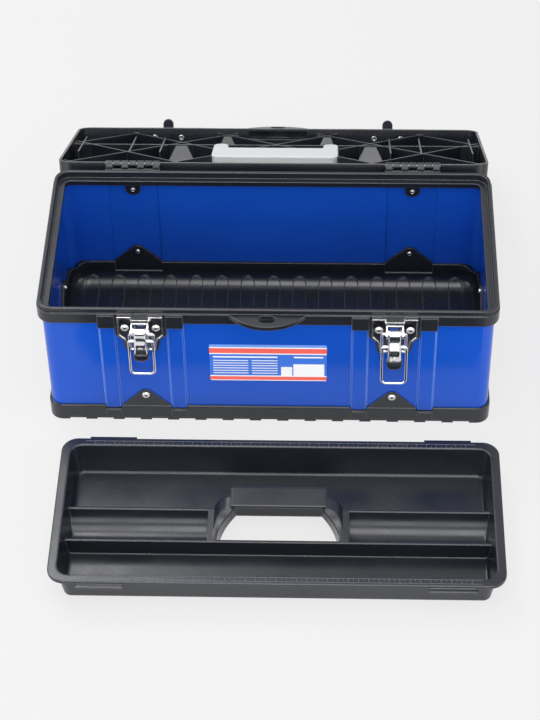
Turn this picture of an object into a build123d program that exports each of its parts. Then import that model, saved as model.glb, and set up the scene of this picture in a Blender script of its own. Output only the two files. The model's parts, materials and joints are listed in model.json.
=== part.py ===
"""Tool box with a plastic base, a painted steel wrap, a plastic rim and lid, two toggle latches
and a lift-out tray, shown with the lid laid back and the tray standing on the floor in front.

X runs along the box, Y from its front to its back and Z up, in millimetres.
The origin is on the floor, under the middle of the box.
"""
import os
from math import cos, radians, sin, tan

from build123d import *

os.makedirs("parts", exist_ok=True)

# Box
length = 470.0  # over the rim skirt
depth = 216.0  # over the rim skirt
rim_top = 165.0  # top of the rim lip above the floor
lid_height = 38.0
fit = 0.2  # gap between pieces that are assembled once
running = 0.06  # radial gap of a pin in its bore

# Rim
rim_corner = 16.0
skirt_drop = 19.0  # rim lip down to the lower edge of the skirt
step_drop = 6.0  # rim lip down to the step where the skirt stands out
step_out = 1.5
lip_wall = 3.5
ledge_drop = 8.0
ledge_thick = 2.5
opening_length = 446.0
opening_depth = 194.0
opening_corner = 6.0
inner_skirt_wall = 2.0
inner_skirt_drop = 14.0
lip_round = 1.2

# Steel wrap
steel_inset = 4.5  # rim skirt to the outer face of the steel
steel_sheet = 1.0
steel_corner = 12.0
steel_bottom = 12.0

# Base moulding
base_inset = 2.0  # rim skirt to the base skirt
base_skirt_top = 21.0
base_edge_round = 2.0
base_wall_top = 35.0
base_wall = 2.6
base_floor_top = 8.0
base_floor_round = 16.0
base_inner_corner = 22.0
wall_gap = 5.0  # end of the steel to the rounded ends of the inner walls
wall_round = 14.0
ridge_pitch = 29.0
ridge_count = 15
ridge_width = 15.0
ridge_height = 1.5
ridge_top = 17.0
arch_width = 17.0
arch_height = 4.5
arch_run = 2.0  # how far the arches reach in from the front and the back

# Front features, on both sides of the middle
latch_x = 129.0
band_offset = 34.7  # latch middle to band middle
band_width = 17.0
band_out = 1.4
band_slope = 35.0  # degrees the band sides lean
band_bottom = 17.0
pad_height = 10.0
pad_out = 1.2
block_height = 17.0
block_top_drop = 7.0  # rim lip down to the top of a block
block_out = 2.3
gusset_half = 24.5
gusset_setback = 1.2  # base skirt to the face of a front gusset
gusset_rivet_z = 36.8
gusset_round = 7.7
tab_half = 38.5  # padlock tab on the front of the rim
tab_out = 16.8
tab_thick = 5.0
tab_hole_length = 17.0
tab_hole_width = 10.0
tab_hole_out = 5.5  # rim skirt to the middle of the hole
label_length = 121.0
label_height = 53.0
label_middle_z = 86.0
label_thick = 0.3
label_round = 2.0

# Rear and end features
hinge_x = 151.0
panel_width = 54.5
panel_out = 1.2
shelf_z = 22.0  # foot of the rear gussets, on a shelf in the wall
inner_rivet_z = 50.7
end_gusset_y = 42.0
rim_tab_width = 16.0
rim_tab_rivet_drop = 22.2  # rim lip down to the rivet

# Rivets
rivet_shank = 2.0
rivet_head = 4.2
inner_rivet_head = 2.8
rivet_rise = 1.7
rivet_tail = 3.2
rivet_tail_rise = 1.0
rivet_dome = 1.5

# Hinges
hinge_out = 8.7  # rim skirt to the hinge axis
knuckle_radius = 3.5
knuckle_count = 7
knuckle_pitch = 8.45
knuckle_gap = 1.2
hinge_pin_radius = 1.6
hinge_root_height = 8.0
hinge_web_out = 5.0  # rim skirt to the outer face of the web below the knuckles
hinge_web_drop = 3.0
hinge_arm_rise = 1.0  # lid edge to the foot of the lid's hinge arms
lid_open = 209.8  # degrees the lid is swung back from closed

# Lid
lid_inset = 1.0  # rim skirt to the lid edge
lid_wall = 2.5
lid_draft = 3.0
lid_round = 9.0
seat = 0.2  # gap between the closed lid and the rim
rib_wall = 1.6
rib_setback = 5.5  # rib edges lie this far inside the lid edge
rib_node_x = 166.5
rib_node_y = 14.5
rib_pitch = 58.5
mid_rib_y = -30.5
cross_rib_xs = (130.0, 164.5, 222.0)
cross_rib_front = -77.0
brace_top = 13.5  # width of the braces under the rib crossings, at the rib edge
brace_foot = 36.0
brace_wall = 2.0
boss_width = 50.0
boss_height = 24.0
tongue_width = 12.0
tongue_drop = 10.0
tongue_thick = 2.6
lid_block_height = 16.0
bulge_half = 37.0
bulge_out = 13.5
bulge_height = 15.0
bulge_floor = 3.0

# Handle cup and carry handle
cup_length = 142.0
cup_front = -12.0
cup_back = 40.0
cup_setback = 5.0  # lid edge to the cup bottom
cup_wall = 2.5
cup_round = 2.0
lobe_width = 17.0
lobe_front = -36.0
handle_pivot_y = -20.0
handle_pivot_rise = 16.7  # lid edge to the handle axis
handle_reach = 46.0
handle_rise = 8.5  # grip middle above the handle axis when folded
handle_arm_radius = 5.0
handle_arm_thick = 9.0
handle_gap = 1.2  # cup wall to handle arm
grip_width = 15.0
grip_thick = 14.0
grip_round = 5.0
handle_pin_radius = 2.0
handle_pin_head = 4.0
handle_pin_head_thick = 2.5
handle_swing = 90.0  # degrees from folded to raised

# Latches
plate_sheet = 1.2
plate_border = 1.0
plate_half = 23.2
plate_top_drop = 6.4  # rim lip down to the ears
ear_notch_half = 8.8
ear_notch_depth = 6.0
ear_flange = 4.2  # rim skirt to the front of the flanges on the ears
plate_shoulder_drop = 34.4
plate_waist_half = 17.0
plate_waist_drop = 41.0
plate_foot_half = 14.2
plate_foot_drop = 55.5
escutcheon_margin = 2.6
latch_rivet_half = 15.9
latch_rivet_drop = 24.1
cheek = 1.2
cheek_gap = 0.4  # lever side to bracket cheek
cheek_radius = 4.0
bridge_rise = 8.5  # lever axis to the bridge between the cheeks
lever_axis_drop = 21.0
lever_axis_out = 10.5  # rim skirt to the lever axis
lever_half = 7.2
lever_sheet = 1.3
lever_head = 4.2
lever_front = 4.0
lever_back = 3.0
lever_eye = 3.0
lever_length = 30.0
lever_pin_radius = 1.8
lever_tip_half = 8.0
lever_tip_length = 11.0
lever_tip_round = 3.0
lever_right_angle = 14.0  # degrees the right lever stands open
bail_wire = 1.5
bail_half = 12.4
bail_length = 47.0
bail_bend = 5.0
bail_eye_bend = 2.0
bail_pivot_down = 17.5
bail_pivot_in = 4.5
bail_right_angle = 7.0  # degrees the right bail stands out from the wall
hook_half = 7.5
hook_room = 1.0
hook_lip = 3.6
strike_half = 22.0
strike_sheet = 1.2
strike_height = 15.0
strike_rivet_rise = 11.0  # lid edge to the strike rivets
strike_rivet_half = 15.5

# Lift-out tray
tray_length = 448.0
tray_depth = 187.0
tray_height = 38.0
tray_flange = 9.0
tray_flange_thick = 3.0
tray_corner = 17.0
tray_wall = 2.2
tray_draft = 9.0
tray_floor = 2.5
tray_floor_round = 3.0
divider_height = 22.0
divider_wall = 3.0
trough_y = -6.8  # middle of the round troughs, from the middle of the tray
trough_radius = 19.2
trough_inner_end = 71.0
hand_hole_front = 61.0
hand_hole_back = 43.5
hand_hole_rear = 30.6  # middle of the troughs to the back of the hand hole
hand_hole_bulge = 4.5  # how far the sides of the hand hole curve outwards
hand_space_spread = 1.0  # how far they still spread and curve under the grip
tray_grip_half = 48.0
tray_grip_width = 25.0
tray_grip_top = 39.0
tray_grip_thick = 4.0
tray_grip_overhang = 1.5  # divider face to the middle of the grip
tray_leg_thick = 6.0
tray_leg_run = 18.5
tray_leg_curve = 7.0  # corner of a leg's outline to the place that its curve heads for
tray_leg_back = 4.0  # middle of the grip to the back of its legs
tray_tab_length = 48.0
tray_tab_x = 172.0
tray_tab_out = 5.0
tray_tab_thick = 2.5
tray_x = 13.5
tray_y = -261.5

# Places worked out from the sizes above
sides = {"left": -1, "right": 1}
skirt_bottom = rim_top - skirt_drop
step_z = rim_top - step_drop
ledge_z = rim_top - ledge_drop
front = -depth / 2
steel_length = length - 2 * steel_inset
steel_depth = depth - 2 * steel_inset
steel_front = -steel_depth / 2
steel_inner_length = steel_length - 2 * steel_sheet
steel_inner_depth = steel_depth - 2 * steel_sheet
steel_top = ledge_z - ledge_thick - fit
base_length = length - 2 * base_inset
base_depth = depth - 2 * base_inset
base_front = -base_depth / 2
wall_length = steel_inner_length - 2 * fit
wall_depth = steel_inner_depth - 2 * fit
wall_corner = steel_corner - steel_sheet - fit
cavity_length = wall_length - 2 * base_wall
cavity_depth = wall_depth - 2 * base_wall
lip_length = length - 2 * step_out
lip_depth = depth - 2 * step_out
lid_length = length - 2 * lid_inset
lid_depth = depth - 2 * lid_inset
lid_edge = rim_top + seat
lid_top = lid_edge + lid_height
hinge_y = depth / 2 + hinge_out
hinge_length = knuckle_count * knuckle_pitch
hinge_web_y = depth / 2 + hinge_web_out
hinge_web_z = rim_top - hinge_web_drop
inner_gusset_half = (panel_width - steel_sheet) / 2 - fit
rib_edge = lid_edge + rib_setback
ear_top = rim_top - plate_top_drop
lever_y = front - lever_axis_out
lever_z = rim_top - lever_axis_drop
bail_closed_y = lever_y + bail_pivot_in
bar_z = lever_z - bail_pivot_down + bail_length
handle_z = lid_edge + handle_pivot_rise
cup_bottom = lid_edge + cup_setback
band_xs = [side * latch_x + turn * band_offset for side in sides.values() for turn in (-1, 1)]
opened = Location((0, hinge_y, rim_top), (-lid_open, 0, 0)) * Location((0, -hinge_y, -rim_top))


def save(part, name):
    """Label a finished piece and write it to its own file."""
    part.label = name
    export_step(part, f"parts/{name}.step")


def save_on_lid(part, name):
    """Write a piece that is drawn on the closed lid where the open lid carries it."""
    save(part.moved(opened), name)


def facing_front(x, y, z=0.0):
    """Upright plane that faces the front: its X runs along the box and its Y up."""
    return Plane(origin=(x, y, z), x_dir=(1, 0, 0), z_dir=(0, -1, 0))


def across(x, y=0.0, z=0.0, out=(0, 1, 0)):
    """Upright plane that faces along the box, with its X along the given direction."""
    return Plane(origin=(x, y, z), x_dir=out, z_dir=(1, 0, 0))


def ring(outer_length, outer_depth, outer_corner, inner_length, inner_depth, inner_corner):
    """Sketch a rounded rectangle with a rounded rectangular hole."""
    RectangleRounded(outer_length, outer_depth, outer_corner)
    RectangleRounded(inner_length, inner_depth, inner_corner, mode=Mode.SUBTRACT)


def bore(face, radius, reach):
    """Cut a round hole through the piece being made, to both sides of the given face."""
    with BuildSketch(face) as hole:
        Circle(radius)
    extrude(hole.sketch, amount=reach, both=True, mode=Mode.SUBTRACT)


def rivet(name, face, grip, head=rivet_head, write=save):
    """A domed rivet whose head sits on the given face, with its shank and tail behind."""
    with BuildPart() as body:
        with BuildSketch(face):
            Circle(head)
        extrude(amount=rivet_rise)
        head_axis = Axis(face.origin, face.z_dir)
        fillet(body.edges().filter_by(GeomType.CIRCLE).sort_by(head_axis)[-1], rivet_dome)
        with BuildSketch(face):
            Circle(rivet_shank)
        extrude(amount=-grip)
        with BuildSketch(face.offset(-grip)):
            Circle(rivet_tail)
        extrude(amount=-rivet_tail_rise)
    write(body.part, name)


def gusset(face, half, foot):
    """Triangle with a round top about a rivet at the origin of the face, down to its foot."""
    with BuildSketch(face) as outline:
        Circle(gusset_round)
        with Locations((0, foot)):
            Rectangle(2 * half, rib_wall)
        make_hull()
    return outline.sketch


def latch_outline(face, margin):
    """Outline of a latch plate with its two ears, widened by a margin up to the rim's step."""
    points = [
        (ear_notch_half, ear_top),
        (plate_half, ear_top),
        (plate_half, rim_top - plate_shoulder_drop),
        (plate_waist_half, rim_top - plate_waist_drop),
        (plate_foot_half, rim_top - plate_foot_drop),
    ]
    mirrored = [(-x, z) for x, z in reversed(points)]
    notch_z = ear_top - ear_notch_depth
    with BuildSketch(face) as outline:
        with BuildLine():
            Polyline(
                *points, *mirrored, (-ear_notch_half, notch_z), (ear_notch_half, notch_z), close=True
            )
        make_face()
        if margin:
            offset(amount=margin, kind=Kind.INTERSECTION)
        with Locations((0, step_z + plate_half)):
            Rectangle(4 * plate_half, 2 * plate_half, mode=Mode.SUBTRACT)
    return outline.sketch


def cup_outline(face, margin):
    """Outline of the handle cup with the two lobes that let the handle arms swing."""
    lobe_radius = lobe_width / 2 + margin
    lobe_end = lobe_front + lobe_width / 2
    with BuildSketch(face) as outline:
        with Locations((0, (cup_front + cup_back) / 2)):
            RectangleRounded(cup_length + 2 * margin, cup_back - cup_front + 2 * margin, lobe_radius)
        for side in sides.values():
            lobe_x = side * (cup_length - lobe_width) / 2
            with Locations((lobe_x, lobe_end)):
                Circle(lobe_radius)
            with Locations((lobe_x, lobe_end / 2)):
                Rectangle(2 * lobe_radius, -lobe_end)
    return outline.sketch


def bulged_tab(face, half, out, root):
    """Round tab that stands out from the front, with its root behind the face origin."""
    with BuildSketch(face) as outline:
        with BuildLine():
            tip = ThreePointArc((-half, 0), (0, -out), (half, 0))
            Polyline(tip @ 1, (half, root), (-half, root), tip @ 0)
        make_face()
    return outline.sketch


def hand_hole(face, front_half, back_half, bulge):
    """Sketch the tray's hand hole, with curved sides and an open rear."""
    middle_half = (front_half + back_half) / 2 + bulge
    middle_y = (hand_hole_rear - trough_radius) / 2
    with BuildSketch(face) as outline:
        with BuildLine():
            for side in sides.values():
                ThreePointArc(
                    (side * back_half, hand_hole_rear),
                    (side * middle_half, middle_y),
                    (side * front_half, -trough_radius),
                )
            Line((-front_half, -trough_radius), (front_half, -trough_radius))
            Polyline(
                (back_half, hand_hole_rear),
                (back_half, tray_depth / 2),
                (-back_half, tray_depth / 2),
                (-back_half, hand_hole_rear),
            )
        make_face()
    return outline.sketch


# Rivet places, each a plane on the face that carries the head
front_rivets = {
    f"base_rivet_front_{name}": facing_front(side * latch_x, base_front + gusset_setback, gusset_rivet_z)
    for name, side in sides.items()
}
rear_rivets = {
    f"base_rivet_rear_{name}": facing_front(
        side * hinge_x, wall_depth / 2 - base_wall + panel_out, inner_rivet_z
    )
    for name, side in sides.items()
}
rim_rivets = {
    f"rim_rivet_{name}": facing_front(
        side * hinge_x, wall_depth / 2 - inner_skirt_wall, rim_top - rim_tab_rivet_drop
    )
    for name, side in sides.items()
}
end_rivets = {
    f"base_rivet_{name}_{place}": Plane(
        origin=(side * (wall_length / 2 - base_wall), turn * end_gusset_y, inner_rivet_z),
        x_dir=(0, -side, 0),
        z_dir=(-side, 0, 0),
    )
    for name, side in sides.items()
    for place, turn in (("front", -1), ("rear", 1))
}
latch_rivets = {
    f"latch_rivet_{name}_{place}": facing_front(
        side * latch_x + turn * latch_rivet_half, front - plate_sheet, rim_top - latch_rivet_drop
    )
    for name, side in sides.items()
    for place, turn in (("outer", side), ("inner", -side))
}
strike_rivets = {
    f"strike_rivet_{name}_{place}": facing_front(
        side * latch_x + turn * strike_rivet_half, front - strike_sheet, lid_edge + strike_rivet_rise
    )
    for name, side in sides.items()
    for place, turn in (("outer", side), ("inner", -side))
}
rivet_bore = rivet_shank + running
wall_grip = base_wall + fit + steel_sheet

# Base moulding: a skirt round the foot of the steel, a wall inside it and a ridged floor
with BuildPart() as base_hollow:
    with BuildSketch(Plane.XY.offset(base_floor_top)):
        RectangleRounded(cavity_length, cavity_depth, base_inner_corner)
    extrude(amount=base_wall_top)
    fillet(base_hollow.faces().sort_by(Axis.Z)[0].edges(), base_floor_round)

with BuildPart() as ridge_hollow:
    with BuildSketch(Plane.XY.offset(base_floor_top + ridge_height)):
        RectangleRounded(
            cavity_length - 2 * ridge_height,
            cavity_depth - 2 * ridge_height,
            base_inner_corner - ridge_height,
        )
    extrude(amount=base_wall_top)
    fillet(ridge_hollow.faces().sort_by(Axis.Z)[0].edges(), base_floor_round)

with BuildPart() as ridges:
    add(base_hollow.part)
    add(ridge_hollow.part, mode=Mode.SUBTRACT)
    with BuildSketch(facing_front(0, depth / 2)):
        with GridLocations(ridge_pitch, 0, ridge_count, 1):
            Rectangle(ridge_width, 2 * ridge_top - ridge_width)
            with Locations((0, ridge_top - ridge_width / 2)):
                Circle(ridge_width / 2)
    extrude(amount=depth, mode=Mode.INTERSECT)

with BuildPart() as wall_panels:
    with BuildSketch(facing_front(0, depth / 2)):
        RectangleRounded(wall_length - 2 * wall_gap, 2 * base_wall_top, wall_round)
    extrude(amount=depth)
    with BuildSketch(across(-length / 2)):
        RectangleRounded(wall_depth - 2 * wall_gap, 2 * base_wall_top, wall_round)
    extrude(amount=length)

with BuildPart() as inner_wall:
    with BuildSketch(Plane.XY.offset(base_skirt_top)):
        RectangleRounded(wall_length, wall_depth, wall_corner)
    extrude(amount=base_wall_top - base_skirt_top)
    add(wall_panels.part, mode=Mode.INTERSECT)
    for face in front_rivets.values():
        bore(face, rivet_tail + 2 * fit, base_wall + steel_inset)

with BuildPart() as base:
    with BuildSketch():
        RectangleRounded(base_length, base_depth, rim_corner - base_inset)
    extrude(amount=base_skirt_top)
    fillet(base.edges().group_by(Axis.Z)[-1], base_edge_round)
    add(inner_wall.part)
    add(base_hollow.part, mode=Mode.SUBTRACT)
    add(ridges.part)
    with BuildSketch(Plane.XY.offset(steel_bottom)):
        ring(steel_length + fit, steel_depth + fit, steel_corner, wall_length, wall_depth, wall_corner)
    extrude(amount=base_wall_top, mode=Mode.SUBTRACT)
    for arch_y in (-base_depth / 2, base_depth / 2):
        with BuildSketch(facing_front(0, arch_y)):
            with GridLocations(ridge_pitch, 0, ridge_count, 1):
                RectangleRounded(arch_width, 2 * arch_height, arch_height / 2)
        extrude(amount=arch_run, both=True, mode=Mode.SUBTRACT)
    with BuildSketch(facing_front(0, base_front)):
        with Locations([(x, base_skirt_top) for x in band_xs]):
            Rectangle(band_width + 2 * fit, 2 * (base_skirt_top - band_bottom + fit))
    extrude(amount=base_inset - steel_inset, mode=Mode.SUBTRACT)
    with BuildSketch(facing_front(0, base_front)):
        with Locations([(x, band_bottom - band_out - pad_height / 2) for x in band_xs]):
            RectangleRounded(band_width, pad_height, pad_height / 4)
    extrude(amount=pad_out)
    for face in front_rivets.values():
        front_gusset = gusset(face, gusset_half, base_skirt_top - gusset_rivet_z)
        extrude(front_gusset, amount=base_inset + gusset_setback + fit - steel_inset)
        bore(face, rivet_bore, steel_inset)
    for face in rear_rivets.values():
        with BuildSketch(face):
            with Locations((0, (shelf_z + base_wall_top) / 2 - inner_rivet_z)):
                Rectangle(2 * inner_gusset_half, base_wall_top - shelf_z)
        extrude(amount=base_wall, mode=Mode.SUBTRACT)
        extrude(gusset(face, inner_gusset_half, base_wall_top - inner_rivet_z), amount=-base_wall)
        bore(face, rivet_bore, 2 * base_wall)
    for face in end_rivets.values():
        extrude(gusset(face, inner_gusset_half, base_wall_top - inner_rivet_z), amount=-base_wall)
        bore(face, rivet_bore, 2 * base_wall)
save(base.part, "base_moulding")

# Steel wrap: a thin wall with raised bands in front and pressed panels behind
band_top = skirt_bottom - fit
with BuildPart() as steel:
    with BuildSketch(Plane.XY.offset(steel_bottom)):
        ring(
            steel_length,
            steel_depth,
            steel_corner,
            steel_inner_length,
            steel_inner_depth,
            steel_corner - steel_sheet,
        )
    extrude(amount=steel_top - steel_bottom)
    band_middle_z = (band_bottom + band_top) / 2
    with BuildSketch(facing_front(0, steel_front)):
        with Locations([(x, band_middle_z) for x in band_xs]):
            Rectangle(band_width, band_top - band_bottom)
    extrude(amount=band_out, taper=band_slope)
    with BuildSketch(facing_front(0, -steel_inner_depth / 2)):
        with Locations([(x, band_middle_z) for x in band_xs]):
            Rectangle(band_width - steel_sheet, band_top - band_bottom - steel_sheet)
    extrude(amount=band_out, taper=band_slope, mode=Mode.SUBTRACT)
    panel_bottom = base_skirt_top + steel_sheet
    panel_middle_z = (panel_bottom + band_top) / 2
    with BuildSketch(facing_front(0, steel_depth / 2)):
        with Locations([(side * hinge_x, panel_middle_z) for side in sides.values()]):
            Rectangle(panel_width, band_top - panel_bottom)
    extrude(amount=-panel_out)
    with BuildSketch(facing_front(0, steel_inner_depth / 2)):
        with Locations([(side * hinge_x, panel_middle_z) for side in sides.values()]):
            Rectangle(panel_width - steel_sheet, band_top - panel_bottom - steel_sheet)
    extrude(amount=-panel_out, mode=Mode.SUBTRACT)
    for face in [*front_rivets.values(), *rear_rivets.values(), *rim_rivets.values()]:
        bore(face, rivet_bore, 2 * steel_inset)
    for face in [*end_rivets.values(), *latch_rivets.values()]:
        bore(face, rivet_bore, 2 * steel_inset)
save(steel.part, "steel_wrap")

# Rim frame: lip, tray ledge, skirts, latch escutcheons, padlock tab and hinge knuckles
rim_slot = steel_inset - fit / 2
inner_skirt_length = opening_length + 2 * inner_skirt_wall
inner_skirt_depth = opening_depth + 2 * inner_skirt_wall
with BuildPart() as rim:
    with BuildSketch(Plane.XY.offset(skirt_bottom)):
        RectangleRounded(length, depth, rim_corner)
    extrude(amount=step_z - skirt_bottom)
    with BuildSketch(Plane.XY.offset(step_z)):
        RectangleRounded(lip_length, lip_depth, rim_corner - step_out)
    extrude(amount=rim_top - step_z)
    with BuildSketch(Plane.XY.offset(ledge_z)):
        RectangleRounded(lip_length - 2 * lip_wall, lip_depth - 2 * lip_wall, rim_corner - lip_wall)
    extrude(amount=rim_top, mode=Mode.SUBTRACT)
    fillet(rim.edges().group_by(Axis.Z)[-1], lip_round)
    with BuildSketch(Plane.XY.offset(skirt_bottom)):
        RectangleRounded(opening_length, opening_depth, opening_corner)
    extrude(amount=rim_top, mode=Mode.SUBTRACT)
    with BuildSketch(Plane.XY.offset(skirt_bottom)):
        ring(
            length - 2 * rim_slot,
            depth - 2 * rim_slot,
            rim_corner - rim_slot,
            inner_skirt_length,
            inner_skirt_depth,
            opening_corner + inner_skirt_wall,
        )
    extrude(amount=ledge_z - ledge_thick - skirt_bottom, mode=Mode.SUBTRACT)
    with BuildSketch(Plane.XY.offset(skirt_bottom)):
        RectangleRounded(inner_skirt_length + fit, inner_skirt_depth + fit, opening_corner)
    extrude(amount=rim_top - inner_skirt_drop - skirt_bottom, mode=Mode.SUBTRACT)
    for side in sides.values():
        escutcheon = latch_outline(facing_front(side * latch_x, front), escutcheon_margin)
        extrude(escutcheon, amount=fit - steel_inset)
    with BuildSketch(facing_front(0, front)):
        with Locations([(x, rim_top - block_top_drop - block_height / 2) for x in band_xs]):
            Rectangle(band_width + 2 * fit, block_height)
    extrude(amount=block_out)
    block_bottom = rim_top - block_top_drop - block_height
    with BuildSketch(facing_front(0, front)):
        with Locations([(x, (block_bottom + skirt_bottom) / 2) for x in band_xs]):
            Rectangle(band_width + 2 * fit, skirt_bottom - block_bottom)
    extrude(amount=band_out + fit - steel_inset)
    tab_face = Plane(origin=(0, front, step_z))
    extrude(bulged_tab(tab_face, tab_half, tab_out, step_out), amount=-tab_thick)
    with BuildSketch(Plane(origin=(0, front - tab_hole_out, step_z))):
        SlotOverall(tab_hole_length, tab_hole_width)
    extrude(amount=-tab_thick, mode=Mode.SUBTRACT)
    for face in rim_rivets.values():
        tab_rise = rim_tab_rivet_drop - ledge_drop - ledge_thick
        with BuildSketch(face):
            Circle(rim_tab_width / 2)
            with Locations((0, tab_rise / 2)):
                Rectangle(rim_tab_width, tab_rise)
        extrude(amount=-inner_skirt_wall)
        with BuildSketch(face):
            Circle(rivet_tail)
        extrude(amount=-inner_skirt_wall - panel_out)
        bore(face, rivet_bore, steel_inset)
    for face in latch_rivets.values():
        bore(face, rivet_bore, 2 * steel_inset)
    for side in sides.values():
        for place in range(0, knuckle_count, 2):
            knuckle_x = side * hinge_x + (place - knuckle_count / 2) * knuckle_pitch + knuckle_gap / 2
            with BuildSketch(across(knuckle_x)):
                with Locations((hinge_y, rim_top)):
                    Circle(knuckle_radius)
                with Locations((hinge_web_y - step_out / 2, hinge_web_z - hinge_root_height / 4)):
                    Rectangle(step_out, hinge_root_height / 2)
                make_hull()
            extrude(amount=knuckle_pitch - knuckle_gap)
        with BuildSketch(across(side * hinge_x)):
            with BuildLine():
                Polyline(
                    (depth / 2 - step_out, step_z),
                    (depth / 2 - step_out, step_z - hinge_root_height),
                    (hinge_web_y, hinge_web_z - hinge_root_height / 2),
                    (hinge_web_y, hinge_web_z),
                    close=True,
                )
            make_face()
        extrude(amount=hinge_length / 2, both=True)
        bore(across(side * hinge_x, hinge_y, rim_top), hinge_pin_radius + running, hinge_length / 2)
save(rim.part, "top_rim")

for name, side in sides.items():
    with BuildPart() as hinge_pin:
        with BuildSketch(across(side * hinge_x, hinge_y, rim_top)):
            Circle(hinge_pin_radius)
        extrude(amount=hinge_length / 2, both=True)
    save(hinge_pin.part, f"hinge_pin_{name}")

for name, face in front_rivets.items():
    rivet(name, face, steel_inset - base_inset - gusset_setback + steel_sheet)
for name, face in rear_rivets.items():
    rivet(name, face, wall_grip, inner_rivet_head)
for name, face in rim_rivets.items():
    rivet(name, face, inner_skirt_wall + panel_out + fit + steel_sheet, inner_rivet_head)
for name, face in end_rivets.items():
    rivet(name, face, wall_grip, inner_rivet_head)
for name, face in latch_rivets.items():
    rivet(name, face, plate_sheet + steel_inset + steel_sheet)

with BuildPart() as label:
    with BuildSketch(facing_front(0, steel_front)):
        with Locations((0, label_middle_z)):
            RectangleRounded(label_length, label_height, label_round)
    extrude(amount=label_thick)
save(label.part, "label_plate")

# Lid: a hollow shell with ribs inside, drawn closed and swung back when it is written
with BuildPart() as lid_hollow:
    with BuildSketch(Plane.XY.offset(lid_edge)):
        RectangleRounded(lid_length - 2 * lid_wall, lid_depth - 2 * lid_wall, rim_corner - lid_wall)
    extrude(amount=lid_height - lid_wall, taper=lid_draft)
    fillet(lid_hollow.faces().sort_by(Axis.Z)[-1].edges(), lid_round - lid_wall)

cup_face = Plane.XY.offset(cup_bottom)
lid_ceiling = lid_top - lid_wall
with BuildPart() as lid_ribs:
    with BuildSketch(Plane.XY.offset(rib_edge)):
        for side in sides.values():
            for step in (-1, 0, 1):
                with Locations((side * (rib_node_x - 2 * step * rib_pitch), rib_node_y)):
                    Rectangle(2 * lid_depth, rib_wall, rotation=45)
                    Rectangle(2 * lid_depth, rib_wall, rotation=-45)
            for cross_x in cross_rib_xs:
                with Locations((side * cross_x, (cross_rib_front + rib_node_y) / 2)):
                    Rectangle(rib_wall, rib_node_y - cross_rib_front)
        with Locations((0, mid_rib_y)):
            Rectangle(lid_length, rib_wall)
    extrude(amount=lid_height)
    for side in sides.values():
        for step in (1, 2):
            brace_y = rib_node_y - step * rib_pitch + (step - 1) * rib_setback
            with BuildSketch(facing_front(side * (rib_node_x - step * rib_pitch), brace_y)):
                with BuildLine():
                    Polyline(
                        (-brace_top / step / 2, rib_edge + rib_wall / 2),
                        (brace_top / step / 2, rib_edge + rib_wall / 2),
                        (brace_foot / 2, lid_top),
                        (-brace_foot / 2, lid_top),
                        close=True,
                    )
                make_face()
            extrude(amount=brace_wall / 2, both=True)
    add(lid_hollow.part, mode=Mode.INTERSECT)
    extrude(cup_outline(cup_face, fit), amount=lid_height, both=True, mode=Mode.SUBTRACT)
    with BuildSketch(cup_face):
        with Locations((0, (cup_back + lid_depth / 2) / 2)):
            Rectangle(cup_length, lid_depth / 2 - cup_back)
    extrude(amount=lid_height, both=True, mode=Mode.SUBTRACT)

with BuildPart() as lid:
    with BuildSketch(Plane.XY.offset(lid_edge)):
        RectangleRounded(lid_length, lid_depth, rim_corner)
    extrude(amount=lid_height, taper=lid_draft)
    fillet(lid.faces().sort_by(Axis.Z)[-1].edges(), lid_round)
    with BuildSketch(facing_front(0, front)):
        with Locations([(side * latch_x, lid_edge + boss_height / 2) for side in sides.values()]):
            Rectangle(boss_width, boss_height)
        with Locations([(x, lid_edge + lid_block_height / 2) for x in band_xs]):
            Rectangle(band_width, lid_block_height)
    extrude(amount=-lid_inset - lid_wall)
    bulge_face = Plane(origin=(0, -lid_depth / 2, lid_edge))
    extrude(bulged_tab(bulge_face, bulge_half, bulge_out, lid_wall), amount=bulge_height)
    add(lid_hollow.part, mode=Mode.SUBTRACT)
    room_face = bulge_face.offset(bulge_floor)
    bulge_room = bulged_tab(room_face, bulge_half - lid_wall, bulge_out - lid_wall, 2 * lid_wall)
    extrude(bulge_room, amount=bulge_height - bulge_floor - lid_wall, mode=Mode.SUBTRACT)
    with BuildSketch(Plane(origin=(0, front - tab_hole_out, lid_edge))):
        SlotOverall(tab_hole_length, tab_hole_width)
    extrude(amount=bulge_floor, mode=Mode.SUBTRACT)
    add(lid_ribs.part)
    for side in sides.values():
        with BuildSketch(facing_front(side * latch_x, front - fit)):
            with Locations((0, lid_edge - tongue_drop + tongue_width / 2)):
                Circle(tongue_width / 2)
            with Locations((0, lid_edge + (lid_wall - tongue_drop + tongue_width / 2) / 2)):
                Rectangle(tongue_width, lid_wall + tongue_drop - tongue_width / 2)
        extrude(amount=tongue_thick)
        with BuildSketch(facing_front(side * latch_x, front)):
            with Locations((0, lid_edge + lid_wall / 2)):
                Rectangle(tongue_width, lid_wall)
        extrude(amount=fit)
        for place in range(1, knuckle_count, 2):
            knuckle_x = side * hinge_x + (place - knuckle_count / 2) * knuckle_pitch + knuckle_gap / 2
            with BuildSketch(across(knuckle_x)):
                with Locations((hinge_y, rim_top)):
                    Circle(knuckle_radius)
                with Locations((lid_depth / 2 - lid_wall / 2, lid_edge + hinge_arm_rise + knuckle_radius)):
                    Rectangle(lid_wall, 2 * knuckle_radius)
                make_hull()
            extrude(amount=knuckle_pitch - knuckle_gap)
        bore(across(side * hinge_x, hinge_y, rim_top), hinge_pin_radius + running, hinge_length / 2)
    for face in strike_rivets.values():
        bore(face, rivet_bore, 4 * lid_wall)
    extrude(
        cup_outline(Plane.XY.offset(lid_ceiling), -cup_wall),
        amount=2 * lid_wall,
        both=True,
        mode=Mode.SUBTRACT,
    )
save_on_lid(lid.part, "lid_shell")

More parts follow.
